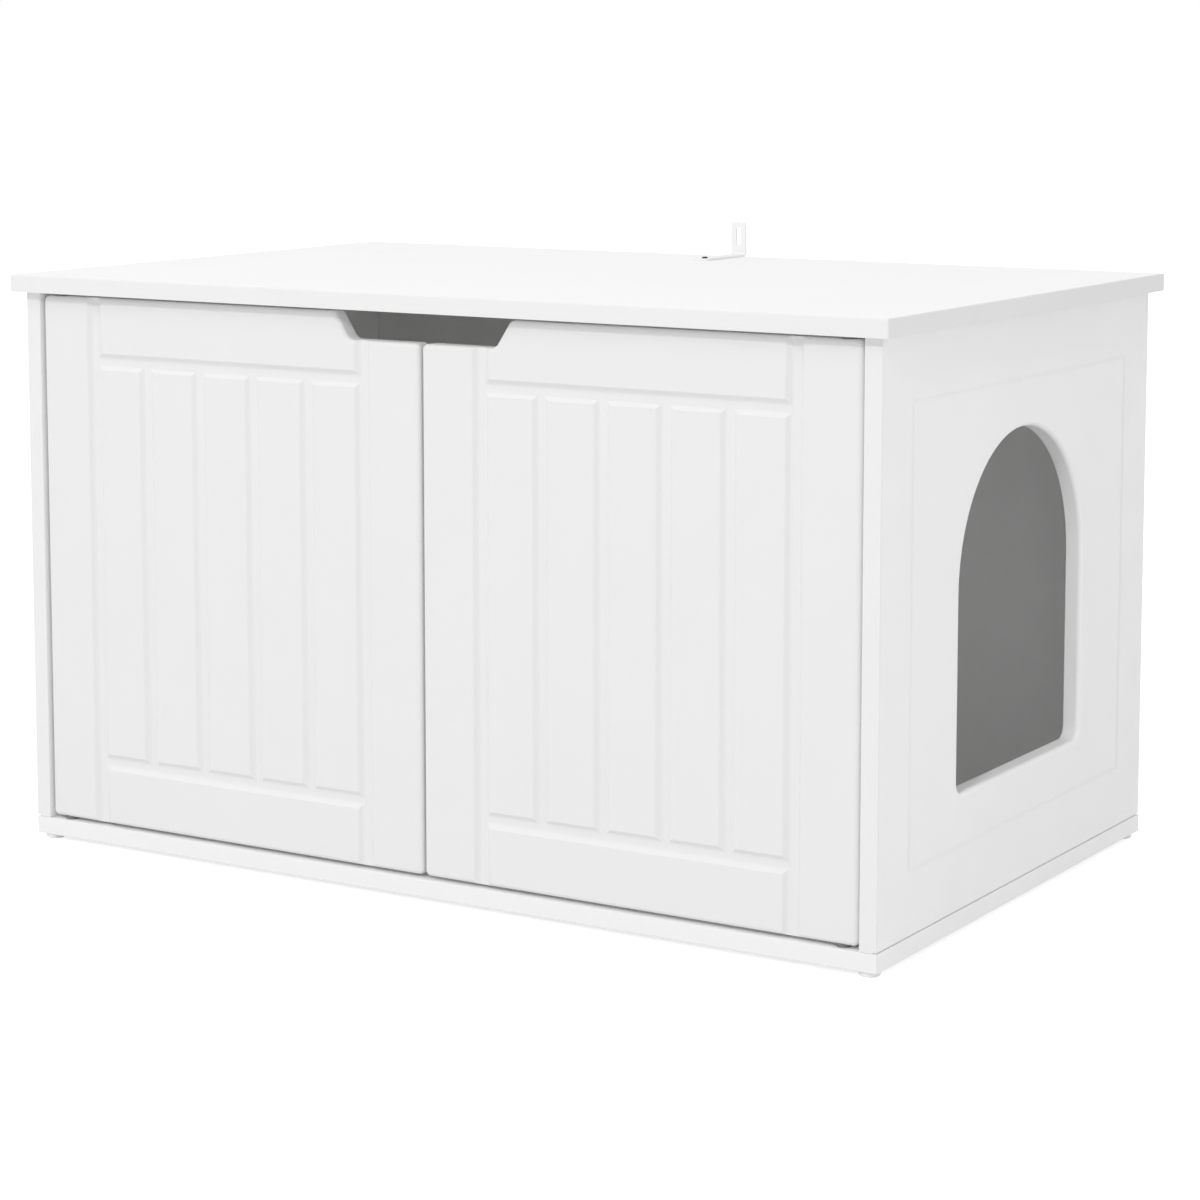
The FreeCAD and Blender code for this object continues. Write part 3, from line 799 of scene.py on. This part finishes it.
@dataclass
class Door:
    """Inset door with half of the finger notch and its routed frame and planks."""

    edge_easing: float = 4.0 * MM
    back_easing: float = 0.8 * MM
    corner_radius: float = 5.0 * MM
    stile_width: float = 60.0 * MM
    rail_height: float = 58.0 * MM
    plank_count: int = 5
    stile_groove: Groove = Groove(18.0 * MM, 3.3 * MM)
    rail_groove: Groove = Groove(16.5 * MM, 3.2 * MM)
    plank_groove: Groove = Groove(17.0 * MM, 3.0 * MM)
    notch_top: float = 91.0 * MM
    notch_floor: float = 75.5 * MM
    notch_depth: float = 24.0 * MM
    notch_floor_radius: float = 8.0 * MM
    notch_top_radius: float = 6.0 * MM
    bush_bore: float = 9.0 * MM
    bush_depth: float = 12.0 * MM
    pivot_inset: float = 16.0 * MM

    def build(self) -> None:
        """Model the right door, copy it mirrored to the left, and dress both."""
        right = self.model()
        left = Bench.copy(right, "left_grooved_door", Matrix.Identity(4))
        Bench.pick(left, Kind.VERT)
        bpy.ops.transform.mirror(orient_type="GLOBAL", constraint_axis=(True, False, False),
                                 center_override=(0, 0, 0))
        Bench.clear()
        for piece, hand in ((right, Hand.RIGHT), (left, Hand.LEFT)):
            settle(Bench.smooth(piece), Palette.FOIL, f"{hand.side}_door", Body[f"{hand.name}_DOOR"])
            self.dress_back(piece)

    def dress_back(self, door: Piece) -> None:
        """Leave the flat back of a foil-wrapped door as plain board."""
        back = max(vertex.co.y for vertex in door.data.vertices)
        dress_part(door, Palette.BOARD, lambda corners: all(back - corner.y < NEAR for corner in corners))

    def model(self) -> Piece:
        """Mesh of the right door, before its shading."""
        low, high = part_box("right_door")
        door = Bench.block("right_grooved_door", low, high)
        self.notch(door, (low, high))
        Bench.ease(door, on_plane(Axis.Y, low.y), self.edge_easing, 6)
        Bench.ease(door, on_plane(Axis.Y, high.y), self.back_easing, 2)
        Bench.cut(door, self.groove_tools((low, high)))
        middle_y = (low.y + high.y) / 2
        for z, way in ((low.z, 1), (high.z, -1)):
            start = Vector((high.x - self.pivot_inset, middle_y, z - way * OVERRUN))
            length = way * (self.bush_depth + OVERRUN)
            Bench.cut(door, [Bench.rod("bush_bore_tool", start, Axis.Z, length, self.bush_bore, 32)])
        return door

    def notch(self, door: Piece, box: Box) -> None:
        """Cut half of the finger notch and round the corners of the door's outline.

        Args:
            door: Door blank.
            box: Lowest and highest corner of the blank.
        """
        low, high = box
        floor = high.z - self.notch_depth
        clear = 6 * OVERRUN
        tool = Bench.block("notch_tool", Vector((low.x - clear, low.y - clear, floor)),
                           Vector((self.notch_floor, high.y + clear, high.z + clear)))
        rise = self.notch_depth + clear
        lean = (self.notch_top - self.notch_floor) * rise / self.notch_depth
        Bench.pick(tool, Kind.EDGE, on_line({Axis.X: self.notch_floor, Axis.Z: high.z + clear}))
        bpy.ops.transform.translate(value=(lean, 0, 0))
        Bench.cut(door, [tool])
        corners = [(low.x, low.z, self.corner_radius), (high.x, low.z, self.corner_radius),
                   (high.x, high.z, self.corner_radius), (low.x, floor, self.corner_radius),
                   (self.notch_floor, floor, self.notch_floor_radius),
                   (self.notch_top, high.z, self.notch_top_radius)]
        for x, z, radius in corners:
            self.round_corner(door, x, z, radius)

    def round_corner(self, door: Piece, x: float, z: float, radius: float) -> None:
        """Round one upright corner of the outline to a radius."""
        at_corner = on_line({Axis.X: x, Axis.Z: z})
        Bench.pick(door, Kind.EDGE, at_corner)
        mesh = bmesh.from_edit_mesh(door.data)
        turn = next(edge.calc_face_angle() for edge in mesh.edges if edge.select)
        Bench.ease(door, at_corner, radius * math.tan(turn / 2), 6)

    def groove_tools(self, box: Box) -> list[Piece]:
        """Cutters of the stile, rail and plank grooves.

        Args:
            box: Lowest and highest corner of the door.

        Returns:
            One cutter for each groove.
        """
        low, high = box
        near, far = low.x + self.stile_width, high.x - self.stile_width
        foot, head = low.z + self.rail_height, high.z - self.rail_height
        ends = 5 * OVERRUN
        tools = []
        for x in (near, far):
            start, run = Vector((x, low.y, low.z - ends)), Vector((0, 0, high.z - low.z + 2 * ends))
            tools.append(self.stile_groove.cutter("stile_tool", start, Axis.X, run))
        for z in (foot, head):
            start, run = Vector((near, low.y, z)), Vector((far - near, 0, 0))
            tools.append(self.rail_groove.cutter("rail_tool", start, Axis.Z, run))
        for index in range(1, self.plank_count):
            start = Vector((near + (far - near) * index / self.plank_count, low.y, foot))
            run = Vector((0, 0, head - foot))
            tools.append(self.plank_groove.cutter("plank_tool", start, Axis.X, run))
        return tools


@dataclass
class Screw:
    """Cross-recessed screw, modelled once with its head upward on the origin."""

    head_diameter: float = 7.0 * MM
    head_height: float = 2.2 * MM
    shank_diameter: float = 3.5 * MM
    length: float = 12.0 * MM
    recess: float = 4.4 * MM
    recess_width: float = 0.95 * MM
    recess_depth: float = 1.5 * MM
    recess_taper: float = 0.55
    dome_share: float = 0.72
    flat_easing: float = 0.2 * MM

    def recess_tools(self, top: float) -> list[Piece]:
        """Two crossing wedges that cut the driver's recess into a head whose top is at a level."""
        tools = []
        for turned in (False, True):
            reach = Vector((self.recess, self.recess_width, 0)) / 2
            if turned:
                reach = Vector((reach.y, reach.x, 0))
            low = Vector((-reach.x, -reach.y, top - self.recess_depth))
            high = Vector((reach.x, reach.y, top + OVERRUN))
            tool = Bench.block("recess_tool", low, high)
            Bench.pick(tool, Kind.FACE, facing(-Axis.Z.unit))
            taper = self.recess_taper
            bpy.ops.transform.resize(value=(taper, taper, 1.0), center_override=(0, 0, low.z))
            tools.append(tool)
        return tools

    def pan_head(self, name: str) -> Piece:
        """Screw with a domed head that stands on the origin's level."""
        screw = Bench.rod(name, Vector(), Axis.Z, self.head_height, self.head_diameter)
        Bench.ease(screw, on_plane(Axis.Z, self.head_height), self.head_height * self.dome_share, 6)
        Bench.inset(screw, facing(-Axis.Z.unit), ((self.head_diameter - self.shank_diameter) / 2, 0.0))
        Bench.extrude((0, 0, -self.length))
        Bench.cut(screw, self.recess_tools(self.head_height))
        return Bench.smooth(screw)

    def flat_head(self, name: str) -> Piece:
        """Countersunk screw whose flat head ends on the origin's level."""
        depth = (self.head_diameter - self.shank_diameter) / 2
        screw = Bench.rod(name, Vector((0, 0, -depth)), Axis.Z, depth, self.head_diameter)
        Bench.pick(screw, Kind.FACE, facing(-Axis.Z.unit))
        share = self.shank_diameter / self.head_diameter
        bpy.ops.transform.resize(value=(share, share, 1.0), center_override=(0, 0, -depth))
        Bench.extrude((0, 0, depth - self.length))
        Bench.ease(screw, on_plane(Axis.Z, 0.0), self.flat_easing, 2)
        Bench.cut(screw, self.recess_tools(0.0))
        return Bench.smooth(screw)


@dataclass
class WallBracket:
    """Bent strip on the back edge of the top, screwed down and slotted for the wall."""

    thickness: float = 2.0 * MM
    bend_radius: float = 2.0 * MM
    corner_radius: float = 3.0 * MM
    easing: float = 0.35 * MM
    slot_width: float = 4.5 * MM
    slot_length: float = 17.0 * MM
    slot_height: float = 20.0 * MM
    hole: float = 4.0 * MM
    screw_from_tip: float = 9.0 * MM
    screw_head: float = 5.6 * MM
    screw_rise: float = 1.4 * MM

    def build(self) -> None:
        """Build and dress the strip and its screw."""
        low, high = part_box("wall_bracket")
        strip = self.bend((low, high))
        self.pierce(strip, (low, high))
        Bench.ease(strip, sharp, self.easing, 2)
        settle(Bench.smooth(strip), Palette.PAINTED, "wall_bracket")
        head = Screw(head_diameter=self.screw_head, head_height=self.screw_rise, recess=3.4 * MM,
                     recess_width=0.8 * MM, recess_depth=0.9 * MM).pan_head("bracket_pan_screw")
        seat = Vector((0, low.y + self.screw_from_tip, low.z + self.thickness))
        screw = Bench.copy(head, "bracket_screw_head", Matrix.Translation(seat))
        Bench.discard(head)
        settle(screw, Palette.BLACK, "bracket_screw")

    def bend(self, box: Box) -> Piece:
        """Leg of the strip, turned up round the bend and drawn out to the upright.

        Args:
            box: Lowest and highest corner of the bracket.

        Returns:
            The bent strip.
        """
        low, high = box
        outer = self.bend_radius + self.thickness
        leg_end = high.y - outer
        strip = Bench.block("white_wall_bracket", low, Vector((high.x, leg_end, low.z + self.thickness)))
        Bench.pick(strip, Kind.FACE, facing(Axis.Y.unit))
        bpy.ops.mesh.spin(steps=8, angle=-math.pi / 2, center=(0, leg_end, low.z + outer), axis=(1, 0, 0))
        Bench.pick(strip, Kind.FACE, on_plane(Axis.Z, low.z + outer))
        Bench.extrude((0, 0, high.z - low.z - outer))
        Bench.face_outward(strip)
        for side in (low.x, high.x):
            Bench.ease(strip, on_line({Axis.X: side, Axis.Y: low.y}), self.corner_radius, 6)
            Bench.ease(strip, on_line({Axis.X: side, Axis.Z: high.z}), self.corner_radius, 6)
        return strip

    def pierce(self, strip: Piece, box: Box) -> None:
        """Cut the screw hole of the leg and the slot of the upright.

        Args:
            strip: Bent strip.
            box: Lowest and highest corner of the bracket.
        """
        low, high = box
        hole_start = Vector((0, low.y + self.screw_from_tip, low.z - OVERRUN))
        hole = Bench.rod("hole_tool", hole_start, Axis.Z, self.thickness + 2 * OVERRUN, self.hole, 32)
        half = Vector((self.slot_width / 2, 0, self.slot_length / 2))
        middle = Vector((0, high.y - self.thickness / 2, low.z + self.slot_height))
        through = Vector((0, 2 * OVERRUN, 0))
        slot = Bench.block("slot_tool", middle - half - through, middle + half + through)
        Bench.ease(slot, lambda edge: abs((edge.verts[0].co - edge.verts[1].co).y) > MM,
                   self.slot_width / 2 - NEAR, 8)
        Bench.cut(strip, [hole, slot])


@dataclass
class Feet:
    """Four moulded glides, nailed on under the corners of the bottom board."""

    lower_rounding: float = 1.7 * MM
    upper_easing: float = 0.4 * MM
    dish_inset: float = 4.6 * MM
    dish_depth: float = 1.2 * MM
    dish_wall: float = 0.4 * MM
    nail_gap: float = 0.5 * MM
    nail_rounding: float = 0.6 * MM

    def build(self) -> None:
        """Model one glide and copy it to the four corners."""
        places = {name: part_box(name) for name in
                  ("foot_front_left", "foot_front_right", "foot_rear_left", "foot_rear_right")}
        low, high = places["foot_front_left"]
        glide = self.model(high.x - low.x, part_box("bottom_panel")[0].z)
        for name, (low, high) in places.items():
            move = Matrix.Translation(((low.x + high.x) / 2, (low.y + high.y) / 2, 0))
            foot = Bench.copy(glide, name.replace("foot", "glide"), move)
            settle(foot, Palette.FOOT, name)
        Bench.discard(glide)

    def model(self, diameter: float, height: float) -> Piece:
        """Round glide on the floor at the origin, with a dish for the nail's head below."""
        glide = Bench.rod("glide", Vector(), Axis.Z, height, diameter, 64)
        Bench.ease(glide, on_plane(Axis.Z, 0.0), self.lower_rounding, 5)
        Bench.ease(glide, on_plane(Axis.Z, height), self.upper_easing, 2)
        Bench.inset(glide, facing(-Axis.Z.unit), (self.dish_inset - self.lower_rounding, 0.0),
                    (self.dish_wall, -self.dish_depth), (self.nail_gap, 0.0),
                    (self.nail_rounding, self.nail_rounding))
        return Bench.smooth(glide)


@dataclass
class CamLocks:
    """Eight cam locks in the inner faces of the side boards."""

    diameter: float = 14.8 * MM
    depth: float = 12.0 * MM
    easing: float = 0.4 * MM
    rim: float = 1.1 * MM
    dish: float = 0.5 * MM
    dish_wall: float = 0.3 * MM
    cross: float = 7.5 * MM
    cross_width: float = 1.6 * MM
    cross_depth: float = 2.2 * MM
    from_edge: float = 70.0 * MM
    from_end: float = 24.0 * MM

    def build(self) -> None:
        """Model one cam, copy it to its eight places and join the copies."""
        cam = self.model()
        copies = []
        for hand in Hand:
            turn = Matrix.Rotation(-hand.value * math.pi / 2, 4, "Y")
            for place in self.places(hand):
                copies.append(Bench.copy(cam, "cam_copy", Matrix.Translation(place) @ turn))
        Bench.discard(cam)
        settle(Bench.join(copies, "zinc_cams"), Palette.CAM, "cam_locks")

    def places(self, hand: Hand) -> list[Vector]:
        """Middles of the faces of the four cams in one side board."""
        low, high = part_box(f"{hand.side}_side_panel")
        inner = low.x if hand is Hand.RIGHT else high.x
        return [Vector((inner, y, z)) for z in (low.z + self.from_end, high.z - self.from_end)
                for y in (low.y + self.from_edge, high.y - self.from_edge)]

    def model(self) -> Piece:
        """Cam whose outer face looks upward on the origin's level."""
        cam = Bench.rod("cam", Vector((0, 0, -self.depth)), Axis.Z, self.depth, self.diameter)
        Bench.ease(cam, on_plane(Axis.Z, 0.0), self.easing, 2)
        Bench.inset(cam, facing(Axis.Z.unit), (self.rim, 0.0), (self.dish_wall, -self.dish))
        driver = Screw(recess=self.cross, recess_width=self.cross_width, recess_depth=self.cross_depth)
        Bench.cut(cam, driver.recess_tools(-self.dish))
        return Bench.smooth(cam)


@dataclass
class Catches:
    """Magnetic catch under the top board and strike plate on the back of each door."""

    ear_thickness: float = 3.0 * MM
    ear_length: float = 10.0 * MM
    ear_rounding: float = 4.5 * MM
    easing: float = 0.5 * MM
    pole: float = 1.2 * MM
    pole_edge: float = 0.15 * MM
    pole_step: float = 0.3 * MM
    strike_corner: float = 2.0 * MM
    strike_easing: float = 0.3 * MM
    strike_spacing: float = 26.0 * MM
    sink_diameter: float = 7.2 * MM
    sink_depth: float = 2.0 * MM

    def build(self) -> None:
        """Build both catches, their screws and the strikes on the doors."""
        pan = Screw().pan_head("pan_screw")
        flat = Screw(length=10.0 * MM).flat_head("flat_screw")
        screws = []
        for hand in Hand:
            screws += self.build_housing(hand, pan)
            self.build_magnet(hand)
            self.build_strike(hand, flat)
        settle(Bench.join(screws, "catch_pan_screws"), Palette.STEEL, "catch_screws")
        for pattern in (pan, flat):
            Bench.discard(pattern)

    def build_housing(self, hand: Hand, pan: Piece) -> list[Piece]:
        """Moulded housing with two screw ears.

        Args:
            hand: Door that the catch belongs to.
            pan: Screw to copy into the ears.

        Returns:
            The housing's two screws.
        """
        node = f"{hand.side}_catch_housing"
        low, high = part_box(node)
        ear = Vector((self.ear_length, 0, 0))
        housing = Bench.block(f"{hand.side}_magnet_housing", low + ear, high - ear)
        under_ears = high.z - self.ear_thickness
        Bench.split(housing, under_ears)
        for way in (-1, 1):
            Bench.pick(housing, Kind.FACE, every(facing(Axis.X.unit * way), centred(under_ears, high.z)))
            Bench.extrude(ear * way)
        Bench.round_corners(housing, (low, high), (Axis.X, Axis.Y), self.ear_rounding)
        Bench.ease(housing, sharp, self.easing, 2)
        Bench.cut(housing, [Bench.block("pocket_tool", *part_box(f"{hand.side}_catch_magnet"))])
        settle(Bench.smooth(housing), Palette.CATCH, node)
        flip = Matrix.Rotation(math.pi, 4, "X")
        middle_y = (low.y + high.y) / 2
        return [Bench.copy(pan, "catch_screw_copy", Matrix.Translation((x, middle_y, under_ears)) @ flip)
                for x in (low.x + self.ear_length / 2, high.x - self.ear_length / 2)]

    def build_magnet(self, hand: Hand) -> None:
        """Dark magnet bar between two thin pole strips that stand a little further out."""
        node = f"{hand.side}_catch_magnet"
        low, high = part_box(node)
        magnet = Bench.block(f"{hand.side}_magnet_bar", low, high)
        Bench.split(magnet, low.z + self.pole)
        Bench.split(magnet, high.z - self.pole)
        middle = (low.z + high.z) / 2
        Bench.inset(magnet, every(facing(-Axis.Y.unit), centred(middle - MM, middle + MM)),
                    (self.pole_edge, -self.pole_step))
        settle(Bench.smooth(magnet), Palette.MAGNET, node)
        reach = high.z - middle - self.pole
        dress_part(magnet, Palette.STEEL, lambda corners: abs(
            sum(corner.z for corner in corners) / len(corners) - middle) > reach)

    def build_strike(self, hand: Hand, flat: Piece) -> None:
        """Steel plate on the back of a door, with two countersunk screws."""
        body = Body[f"{hand.name}_DOOR"]
        node = f"{hand.side}_strike_plate"
        low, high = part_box(node)
        plate = Bench.block(f"{hand.side}_steel_strike", low, high)
        Bench.round_corners(plate, (low, high), (Axis.X, Axis.Z), self.strike_corner)
        Bench.ease(plate, on_plane(Axis.Y, high.y), self.strike_easing, 2)
        middle = (low + high) / 2
        turn = Matrix.Rotation(-math.pi / 2, 4, "X")
        screws = []
        for way in (-1, 1):
            seat = Vector((middle.x + way * self.strike_spacing / 2, high.y, middle.z))
            sink = Bench.rod("sink_tool", seat + Vector((0, OVERRUN, 0)), Axis.Y,
                             -self.sink_depth - OVERRUN, self.sink_diameter)
            Bench.cut(plate, [sink])
            screws.append(Bench.copy(flat, "strike_screw_copy", Matrix.Translation(seat) @ turn))
        settle(Bench.smooth(plate), Palette.STEEL, node, body)
        pair = Bench.join(screws, f"{hand.side}_flat_screws")
        settle(pair, Palette.STEEL, f"{hand.side}_strike_screws", body)


class HiddenFittings:
    """Fittings that keep their CAD shape: pivots, bushes, bolts and dowels."""

    FINISHES = {"pivot": Palette.GREY, "bush": Palette.BUSH, "cam_bolts": Palette.STEEL,
                "wood_dowels": Palette.DOWEL}

    def build(self) -> None:
        """Dress every CAD node that still shows."""
        for name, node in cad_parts.items():
            if node.hide_render:
                continue
            finish = next(made for word, made in self.FINISHES.items() if word in name)
            dress(node, finish)
            log.info("%s keeps its CAD shape", name)


@dataclass
class PhotoCamera:
    """Camera that stands where the photograph was taken from."""

    place: tuple[float, float, float] = (1.5455, -2.4886, 0.7441)
    turn: float = 31.634
    tilt: float = 6.793
    lens: float = 95.43
    sensor: float = 36.0
    rise: float = -0.15

    def build(self) -> None:
        """Make the camera and give it to the scene."""
        data = bpy.data.cameras.new("photo_camera")
        data.sensor_width = self.sensor
        data.lens = self.lens
        data.shift_y = self.rise
        camera = bpy.data.objects.new("photo_camera", data)
        camera.location = self.place
        camera.rotation_euler = (math.radians(90 - self.tilt), 0, math.radians(self.turn))
        bpy.context.scene.collection.objects.link(camera)
        bpy.context.scene.camera = camera


@dataclass
class Lamp:
    """Square lamp that looks at a point of the cabinet, with its beam's spread in degrees."""

    name: str
    place: tuple[float, float, float]
    target: tuple[float, float, float]
    size: float
    power: float
    mirrored: bool = True
    spread: float = 180.0

    def build(self) -> None:
        """Make the lamp and turn it to its target."""
        data = bpy.data.lights.new(self.name, "AREA")
        data.shape = "SQUARE"
        data.size = self.size
        data.energy = self.power
        data.spread = math.radians(self.spread)
        lamp = bpy.data.objects.new(self.name, data)
        lamp.location = self.place
        lamp.visible_glossy = self.mirrored
        aim = Vector(self.target) - Vector(self.place)
        lamp.rotation_euler = aim.to_track_quat("-Z", "Y").to_euler()
        bpy.context.scene.collection.objects.link(lamp)


@dataclass
class Studio:
    """Plain pale floor, even room light, and a lamp at the left, at the front and at the right."""

    room_light: float = 0.80
    floor_size: float = 30.0
    floor_colour: float = 0.78
    floor_lift: float = 0.62
    bounces: int = 16
    lamps: tuple[Lamp, ...] = (
        Lamp("left_lamp", (-3.5, -3.93, 4.89), (0, -0.27, 0.35), size=3.2, power=72.0),
        Lamp("front_lamp", (1.4, -6.67, 4.83), (0, -0.27, 0.35), size=0.5, power=144.0, mirrored=False),
        Lamp("right_lamp", (1.95, -0.2, 0.6), (0.45, -0.33, 0.32), size=0.4, power=0.075, mirrored=False,
             spread=42.0))

    def build(self) -> None:
        """Make the room, the floor and the lamps."""
        self.build_room()
        self.build_floor()
        for lamp in self.lamps:
            lamp.build()
        bpy.context.scene.view_settings.view_transform = "Standard"
        bpy.context.scene.cycles.max_bounces = self.bounces
        bpy.context.scene.cycles.diffuse_bounces = self.bounces

    def build_room(self) -> None:
        """White surroundings, with the light they give set apart from how they look."""
        world = bpy.data.worlds.new("white_room")
        bpy.context.scene.world = world
        world.use_nodes = True
        sheet = NodeSheet(world.node_tree)
        lit = sheet.node("Background", Color=(1, 1, 1, 1), Strength=self.room_light)
        seen = sheet.node("Background", Color=(1, 1, 1, 1), Strength=1.0)
        sheet.by_sight(lit.outputs[0], seen.outputs[0], "OutputWorld")

    def build_floor(self) -> None:
        """White floor that keeps the cabinet's soft shadow."""
        Bench.clear()
        bpy.ops.mesh.primitive_plane_add(size=self.floor_size)
        floor = Bench.named("pale_floor")
        material = bpy.data.materials.new("pale_floor")
        material.use_nodes = True
        sheet = NodeSheet(material.node_tree)
        matt = sheet.node("BsdfDiffuse", Color=(self.floor_colour,) * 3 + (1,))
        lift = sheet.node("Emission", Strength=self.floor_lift)
        seen = sheet.node("AddShader")
        sheet.join(matt.outputs[0], seen.inputs[0])
        sheet.join(lift.outputs[0], seen.inputs[1])
        sheet.by_sight(matt.outputs[0], seen.outputs[0], "OutputMaterial")
        floor.data.materials.append(material)


def main() -> None:
    """Build the cabinet, piece by piece, and the room round it."""
    logging.basicConfig(level=logging.INFO, format="%(message)s")
    for assembly in (PhotoCamera(), Carcass(), Door(), WallBracket(), Feet(), CamLocks(), Catches(),
                     HiddenFittings(), Studio()):
        assembly.build()
        log.info("%s is done", type(assembly).__name__)
    Bench.clear()


if __name__ == "__main__":
    main()
